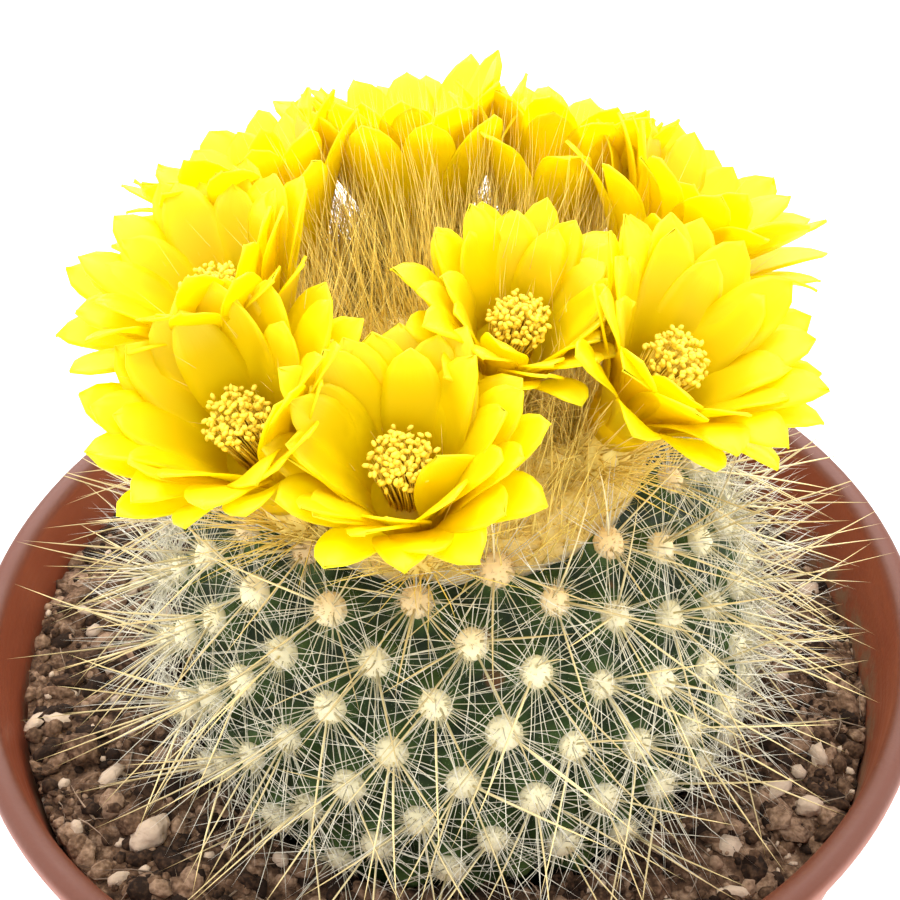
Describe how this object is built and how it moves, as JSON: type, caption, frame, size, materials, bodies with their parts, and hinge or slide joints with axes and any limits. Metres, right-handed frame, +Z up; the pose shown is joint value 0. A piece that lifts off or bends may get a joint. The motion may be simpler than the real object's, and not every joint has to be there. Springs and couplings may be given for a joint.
{
  "type": "potted round cactus in flower",
  "caption": "Round white-spined cactus with a ring of yellow flowers on its woolly crown, standing in gritty soil in a terracotta-coloured nursery pot.",
  "frame": {"origin": "middle of the pot's flat base, on the surface that the pot stands on", "axes": "+Z up along the pot's axis, -Y towards the side that the picture shows, +X to its right"},
  "size_m": [0.12, 0.12, 0.157],
  "materials": {
    "terracotta_plastic": "smooth moulded plastic with a slight sheen, terracotta orange, darker inside",
    "soil": "dry loose cactus mix of grit, bark chips, fibres and pale crumbs",
    "cactus_skin": "matt deep green skin with cream felt pads, white spines and golden spines",
    "crown_wool": "soft tan wool with golden bristles",
    "flower_tube": "yellow-green tube under dense tan wool and bristles",
    "petal": "satin golden yellow that lets light through, lemon yellow where lit from behind",
    "stamen": "golden yellow filaments with paler yellow anthers"
  },
  "bodies": {
    "root": {"pot": "terracotta_plastic", "soil": "soil", "cactus_stem": "cactus_skin", "crown_wool": "crown_wool", "flower_1_tube": "flower_tube", "flower_1_petals": "petal", "flower_1_stamens": "stamen", "flower_2_tube": "flower_tube", "flower_2_petals": "petal", "flower_2_stamens": "stamen", "flower_3_tube": "flower_tube", "flower_3_petals": "petal", "flower_3_stamens": "stamen", "flower_4_tube": "flower_tube", "flower_4_petals": "petal", "flower_4_stamens": "stamen", "flower_5_tube": "flower_tube", "flower_5_petals": "petal", "flower_5_stamens": "stamen", "flower_6_tube": "flower_tube", "flower_6_petals": "petal", "flower_6_stamens": "stamen", "flower_7_tube": "flower_tube", "flower_7_petals": "petal", "flower_7_stamens": "stamen", "flower_8_tube": "flower_tube", "flower_8_petals": "petal", "flower_8_stamens": "stamen", "flower_9_tube": "flower_tube", "flower_9_petals": "petal", "flower_9_stamens": "stamen"}
  },
  "joints": []
}
